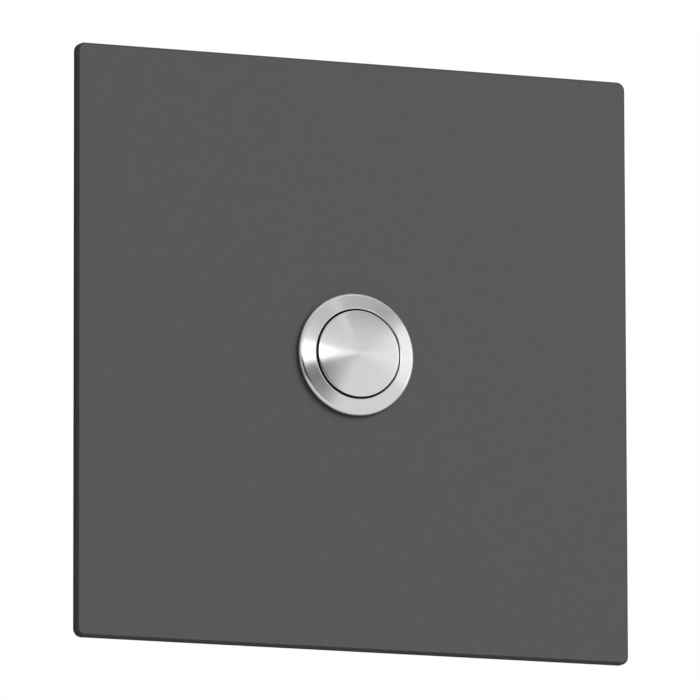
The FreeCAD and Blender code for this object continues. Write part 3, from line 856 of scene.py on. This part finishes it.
CAP_DOME = [
    (radius, CAP_CREST + CAP_DOME_R - math.sqrt(CAP_DOME_R ** 2 - radius ** 2))
    for radius in (0.0, 0.3, 0.8, 1.5, 2.3, 3.1, 3.9, 4.7, 5.4, 5.9, 6.11)
]
CAP_EDGE = (
    (6.155, CAP_RIM + 0.015), (6.19, CAP_RIM + 0.04), (6.206, CAP_RIM + 0.075), (CAP_R, CAP_RIM + 0.115),
)
CAP_GROOVE = (
    (CAP_R, GROOVE_FRONT - 0.05), (CAP_R - 0.11, GROOVE_FRONT), (GROOVE_R, GROOVE_FRONT),
    (GROOVE_R, GROOVE_BACK), (LAND_R - CAP_BREAK, GROOVE_BACK), (LAND_R, GROOVE_BACK + CAP_BREAK),
)
CAP_SKIRT = (
    (LAND_R, CAP_END - 0.18), (LAND_R - 0.12, CAP_END), (CAP_INSIDE_R + CAP_BREAK, CAP_END),
    (CAP_INSIDE_R, CAP_END - CAP_BREAK), (CAP_INSIDE_R, CAP_FLOOR), (0.0, CAP_FLOOR),
)
cap_shape = lathe((*CAP_DOME, *CAP_EDGE, *CAP_GROOVE, *CAP_SKIRT), TURNED_STEPS, closed=False)
piece(cap_shape, "turned_push_cap", CAP, cap_steel, "push_cap")

# %% [markdown]
# ## Seals
# The gasket under the bezel is squeezed flat and bulges a little at its edge. The O-ring in the cap's
# groove is a plain torus: a circle, spun round the axis at the radius of the groove.

# %% Gasket and O-ring
GASKET_BACK = -1.5
GASKET_INNER_R, GASKET_OUTER_R = 8.02, 8.80
GASKET_BULGE = ((8.845, -1.75), (8.86, -1.65), (8.845, -1.55))
O_RING_R, O_RING_SECTION_R, O_RING_Y = 5.935, 0.475, -0.34
O_RING_SIDES, O_RING_STEPS = 20, 96

GASKET_PROFILE = (
    (GASKET_INNER_R, BEZEL_FOOT), (GASKET_OUTER_R, BEZEL_FOOT), *GASKET_BULGE,
    (GASKET_OUTER_R, GASKET_BACK), (GASKET_INNER_R, GASKET_BACK),
)
piece(lathe(GASKET_PROFILE, TURNED_STEPS), "squeezed_bezel_gasket", FIXED, rubber, "bezel_gasket")

bm = bmesh.new()
bmesh.ops.create_circle(bm, segments=O_RING_SIDES, radius=O_RING_SECTION_R)
bmesh.ops.translate(bm, vec=(O_RING_R, O_RING_Y, 0), verts=bm.verts)
spin_round(bm, bm.verts[:] + bm.edges[:], O_RING_STEPS)
clean_up(bm)
piece(bm, "moulded_cap_o_ring", CAP, rubber, "cap_o_ring", weighted=False)

# %% [markdown]
# ## Plunger
# Turned from white acetal: a flange that fills the cap, the stem that runs through the web, the groove of
# the retaining clip, and a thin nose that carries the contact bridge.
# All its corners have the same small radius, so its profile is plain and the lathe rounds it.

# %% Plunger
FLANGE_R, FLANGE_BACK = 4.98, -0.40
STEM_R, STEM_END = 2.5, 7.02
CLIP_GROOVE_R, CLIP_GROOVE_FRONT, CLIP_GROOVE_BACK = 2.0, 6.02, 6.52
NOSE_R, NOSE_END, NOSE_BREAK = 1.2, 10.4, 0.25
PLUNGER_ROUNDING = 0.06
PLUNGER_STEPS = 72

PLUNGER_PROFILE = (
    (0.0, CAP_FLOOR), (FLANGE_R, CAP_FLOOR), (FLANGE_R, FLANGE_BACK), (STEM_R, FLANGE_BACK),
    (STEM_R, CLIP_GROOVE_FRONT), (CLIP_GROOVE_R, CLIP_GROOVE_FRONT), (CLIP_GROOVE_R, CLIP_GROOVE_BACK),
    (STEM_R, CLIP_GROOVE_BACK), (STEM_R, STEM_END), (NOSE_R, STEM_END),
    (NOSE_R, NOSE_END - NOSE_BREAK), (NOSE_R - NOSE_BREAK, NOSE_END), (0.0, NOSE_END),
)
plunger_shape = lathe(PLUNGER_PROFILE, PLUNGER_STEPS, rounding=PLUNGER_ROUNDING, closed=False)
piece(plunger_shape, "turned_plunger", CAP, acetal, "plunger")

# %% [markdown]
# ## Springs
# A spring is a circle of wire that turns and climbs. A Screw modifier would make it climb evenly, but a real
# compression spring ends in closed turns. So it is spun in short steps, and each step climbs by its own
# amount: little in the closed turns at both ends, much in between, with a soft change from one to the other.
# A spring doesn't ride on one body like a rigid piece: one end stays on its seat and the other end comes
# closer. Here each spring is attached to the body of its seat.

# %% Tools for springs
SPRING_STEP = math.radians(12)
STEPS_A_TURN = 30
CLOSED_RISE = 2.1
EASE_STEPS = 10


def coil_spring(mean_r, wire_r, start, end, active_turns, sides):
    """A compression spring along Y, with one closed turn at each end, as a bmesh in millimetres."""
    total_steps = round((active_turns + 2) * STEPS_A_TURN)
    weights = []
    for step in range(total_steps):
        inside = min(step, total_steps - 1 - step) - STEPS_A_TURN
        ease = min(max(inside / EASE_STEPS + 0.5, 0.0), 1.0)
        weights.append(ease * ease * (3 - 2 * ease))
    closed_step = CLOSED_RISE * wire_r / STEPS_A_TURN
    spare = (end - start - 2 * wire_r) - closed_step * total_steps
    bm = bmesh.new()
    ring = bmesh.ops.create_circle(bm, segments=sides, radius=wire_r)["verts"]
    bmesh.ops.translate(bm, vec=(mean_r, start + wire_r, 0), verts=ring)
    bmesh.ops.contextual_create(bm, geom=ring)
    shape = ring + list(dict.fromkeys(edge for vert in ring for edge in vert.link_edges))
    for weight in weights:
        rise = closed_step + spare * weight / sum(weights)
        shape = bmesh.ops.spin(
            bm, geom=shape, cent=CENTRE, axis=Y_AXIS, angle=SPRING_STEP, steps=1, dvec=(0, rise, 0),
        )["geom_last"]
        shape = [item for item in shape if not isinstance(item, bmesh.types.BMFace)]
    bmesh.ops.contextual_create(bm, geom=[item for item in shape if isinstance(item, bmesh.types.BMVert)])
    clean_up(bm)
    return bm


print("spring tools ready")

# %% [markdown]
# ## The two springs
# The return spring pushes the cap out again. Its seat is the web, which stands still. The contact spring
# presses the bridge on to the contacts once they meet. Its seat is the plunger's shoulder, so it rides on
# the cap and gives way by what the plunger travels further than the bridge.

# %% Return spring and contact spring
RETURN_SEAT = 3.98
CONTACT_SEAT = 7.04

return_coil = coil_spring(
    mean_r=3.805, wire_r=0.275, start=-0.38, end=RETURN_SEAT, active_turns=3.0, sides=12,
)
return_spring = piece(
    return_coil, "wound_return_spring", FIXED, spring_steel, "return_spring", weighted=False,
)
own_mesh(return_spring)

contact_coil = coil_spring(
    mean_r=1.5, wire_r=0.125, start=CONTACT_SEAT, end=9.00, active_turns=3.0, sides=10,
)
contact_spring = piece(
    contact_coil, "wound_contact_spring", CAP, spring_steel, "contact_spring", weighted=False,
)
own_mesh(contact_spring)

# %% [markdown]
# ## Nut and lock washer
# The nut is nickel plated brass bar, cut and tapped. The washer under it has twelve teeth, each twisted so
# that its edges bite. The measured solids already have the nut's turned corners and the twist of every
# tooth, so they are refined and not modelled again.

# %% Nut and lock washer
refined_piece("rounded", "panel_nut", 0.10, FIXED, nickel)
refined_piece("rounded", "lock_washer", 0.04, FIXED, zinc)

# %% [markdown]
# ## Clip, bridge and retainer
# The retaining clip and the push-on retainer are stamped from spring steel, the bridge from brass strip.
# A stamping is an outline with a thickness, which the solids have. Only the sheared edges need a radius.

# %% Clip, bridge and retainer
refined_piece("rounded", "retaining_clip", 0.05, CAP, spring_steel)
refined_piece("rounded", "bridge_retainer", 0.04, CAP, spring_steel)
refined_piece("rounded", "contact_bridge", 0.06, BRIDGE, brass)


# %% [markdown]
# ## Silver tips
# Four silver rivets make and break the circuit. Each has a low dome, turned as a short profile and moved
# to its place. The tips on the bridge point into the wall, the fixed ones the other way.

# %% Silver tips
TIP_R = 0.9
TIP_HEIGHT = 0.5
TIP_DOME_R = 2.4
TIP_X = 3.0
TIP_STEPS = 36
MOVING_TIP_FOOT = 9.52
FIXED_TIP_FOOT = 11.42


def dome_height(radius):
    """How high the dome of a tip stands at that radius."""
    return TIP_HEIGHT - (TIP_DOME_R - math.sqrt(TIP_DOME_R ** 2 - radius ** 2))


TIP_DOME = [(TIP_R * share, dome_height(TIP_R * share)) for share in (0.98, 0.8, 0.6, 0.4, 0.2)]
TIP_PROFILE = ((0.0, 0.0), (TIP_R, 0.0), (TIP_R, dome_height(TIP_R) - 0.02), *TIP_DOME, (0.0, TIP_HEIGHT))


def contact_tip(name, body, node, x, foot, way):
    """One rivet head on its strip. way is 1 for a dome that points into the wall and -1 for the other way."""
    bm = lathe(TIP_PROFILE, TIP_STEPS, closed=False)
    bmesh.ops.scale(bm, vec=(1, way, 1), verts=bm.verts)
    bmesh.ops.translate(bm, vec=(x, foot, 0), verts=bm.verts)
    bmesh.ops.recalc_face_normals(bm, faces=bm.faces)
    piece(bm, name, body, silver, node)


for side, x in (("left", -TIP_X), ("right", TIP_X)):
    contact_tip(f"domed_moving_tip_{side}", BRIDGE, f"moving_tip_{side}", x, MOVING_TIP_FOOT, 1)
    contact_tip(f"domed_fixed_tip_{side}", FIXED, f"fixed_tip_{side}", x, FIXED_TIP_FOOT, -1)

# %% [markdown]
# ## Contact carrier and fixed contacts
# The carrier is one moulding. The brass strips are pushed into it and end in flags for the wires. A square
# washer under a slotted screw clamps each wire. Every slot and bend has to fit its neighbour, and it does in
# the solids, so these pieces are refined as well.

# %% Contact carrier and fixed contacts
refined_piece("moulded", "contact_carrier", 0.08, FIXED, nylon)
for side in ("left", "right"):
    refined_piece("stamped", f"fixed_contact_{side}", 0.07, FIXED, brass)
    refined_piece("rounded", f"clamp_washer_{side}", 0.08, FIXED, zinc)
    refined_piece("slotted", f"terminal_screw_{side}", 0.05, FIXED, zinc)

# %% [markdown]
# ## Floor and background
# The object hangs in the air in front of a white ground, as in the photograph.
# A pale floor lies far below. The world is white to the camera and to reflections, and gives a weaker, even
# light to surfaces, so that white stays white and the object isn't washed out.

# %% Floor and world
FLOOR_LEVEL = -1.2
FLOOR_HALF_WIDTH = 6.0
EVEN_LIGHT = 0.325
PURE_WHITE = grey(1.0)


def seen_directly(tree):
    """A socket that is 1 for rays from the camera, a reflection or a clear body, and 0 for all others."""
    ray = add(tree, "LightPath").outputs
    seen = add(tree, "Math", {0: ray["Is Camera Ray"], 1: ray["Is Glossy Ray"]}, operation="MAXIMUM")
    clear = {0: seen.outputs[0], 1: ray["Is Transmission Ray"]}
    return add(tree, "Math", clear, operation="MAXIMUM").outputs[0]


floor_bm = bmesh.new()
bmesh.ops.create_grid(floor_bm, x_segments=1, y_segments=1, size=FLOOR_HALF_WIDTH)
bmesh.ops.translate(floor_bm, vec=(0, 0, FLOOR_LEVEL), verts=floor_bm.verts)
floor = placed("studio_floor", mesh_of(floor_bm, "studio_floor"))
floor_paint, tree, shader = finish(
    "studio_floor", Base_Color=grey(0.5), Roughness=0.8, Specular_IOR_Level=0.2,
)
white = add(tree, "Emission", {"Color": PURE_WHITE, "Strength": 1.0}).outputs[0]
either = add(tree, "MixShader", {0: seen_directly(tree), 1: shader.outputs[0], 2: white}).outputs[0]
feed(tree, tree.nodes["Material Output"], {"Surface": either})
floor.data.materials.append(floor_paint)

world = bpy.data.worlds.new("studio_world")
bpy.context.scene.world = world
world.use_nodes = True
tree = world.node_tree
level = between(tree, seen_directly(tree), EVEN_LIGHT, 1.0)
feed(tree, tree.nodes["Background"], {"Color": PURE_WHITE, "Strength": level})
print("world ready")

# %% [markdown]
# ## Soft lamps
# In brushed steel every lamp shows as a wedge, so the lamps' places decide where the bright wedges fall.
# Places are given as two angles from the button: to the right of straight ahead, and up.
# A third, large lamp lights the coating evenly. It is kept out of reflections, where it would blot out the
# wedges. The rear lamp is for views of the back. Nothing that the photograph shows faces it.

# %% Lamps
LAMP_DISTANCE = 2.4


def direction(azimuth, elevation):
    """The unit vector from the button to the right of straight ahead and up by these angles in degrees."""
    turn, lift = math.radians(azimuth), math.radians(elevation)
    return Vector((math.sin(turn) * math.cos(lift), -math.cos(turn) * math.cos(lift), math.sin(lift)))


def soft_lamp(name, azimuth, elevation, width, height, brightness, in_reflections=True):
    """A lamp turned towards the button. Its width and height are angles, its brightness is its radiance."""
    data = bpy.data.lights.new(name, "AREA")
    data.shape = "RECTANGLE"
    data.size = 2 * LAMP_DISTANCE * math.tan(math.radians(width / 2))
    data.size_y = 2 * LAMP_DISTANCE * math.tan(math.radians(height / 2))
    data.energy = math.pi * data.size * data.size_y * brightness
    lamp = placed(name, data)
    lamp.location = direction(azimuth, elevation) * LAMP_DISTANCE
    lamp.rotation_euler = lamp.location.to_track_quat("Z", "Y").to_euler()
    lamp.visible_glossy = in_reflections
    print("lamp:", name)


soft_lamp("wide_lamp", azimuth=-13.8, elevation=8.8, width=28.5, height=10.2, brightness=3.3)
soft_lamp("strip_lamp", azimuth=58.4, elevation=7.9, width=10.2, height=31.4, brightness=2.2)
soft_lamp(
    "coating_lamp", azimuth=36.0, elevation=30.0, width=34.0, height=34.0, brightness=8.1,
    in_reflections=False,
)
soft_lamp(
    "rear_lamp", azimuth=150.0, elevation=35.0, width=30.0, height=30.0, brightness=5.0,
    in_reflections=False,
)

# %% [markdown]
# ## Dark cards
# A studio has dark parts too, and brushed steel needs them: without dark wedges between the bright ones it
# looks like grey paint. Bent cards round the button do that. Only reflections see them, so they throw no
# shadow.

# %% Dark cards
CARD_DISTANCE = 3.0
CARD_STEPS = 24


def bent_card(name, azimuths, elevations, brightness):
    """A card bent round the button between two azimuths and two elevations, in degrees."""
    foot = direction(azimuths[0], 0) * CARD_DISTANCE
    heights = [CARD_DISTANCE * math.tan(math.radians(angle)) for angle in elevations]
    bm = bmesh.new()
    ends = [bm.verts.new((foot.x, foot.y, height)) for height in heights]
    bmesh.ops.spin(
        bm, geom=[*ends, bm.edges.new(ends)], cent=CENTRE, axis=(0, 0, 1),
        angle=math.radians(azimuths[1] - azimuths[0]), steps=CARD_STEPS,
    )
    card = placed(name, mesh_of(bm, name))
    paint, _, _ = finish(
        name, Base_Color=grey(0.0), Specular_IOR_Level=0.0, Emission_Color=grey(brightness),
        Emission_Strength=1.0,
    )
    card.data.materials.append(paint)
    card.visible_camera = card.visible_diffuse = card.visible_shadow = card.visible_transmission = False
    print("card:", name)


bent_card("low_card", azimuths=(-67.0, 9.0), elevations=(-22.0, 4.4), brightness=0.0)
bent_card("right_card", azimuths=(17.0, 59.0), elevations=(24.7, 34.0), brightness=0.0)
bent_card("high_card", azimuths=(-47.0, 12.0), elevations=(22.0, 43.0), brightness=0.6)

# %% [markdown]
# ## View transform
# The scene is shown through the Standard view transform.

# %% View transform
bpy.context.scene.view_settings.view_transform = "Standard"
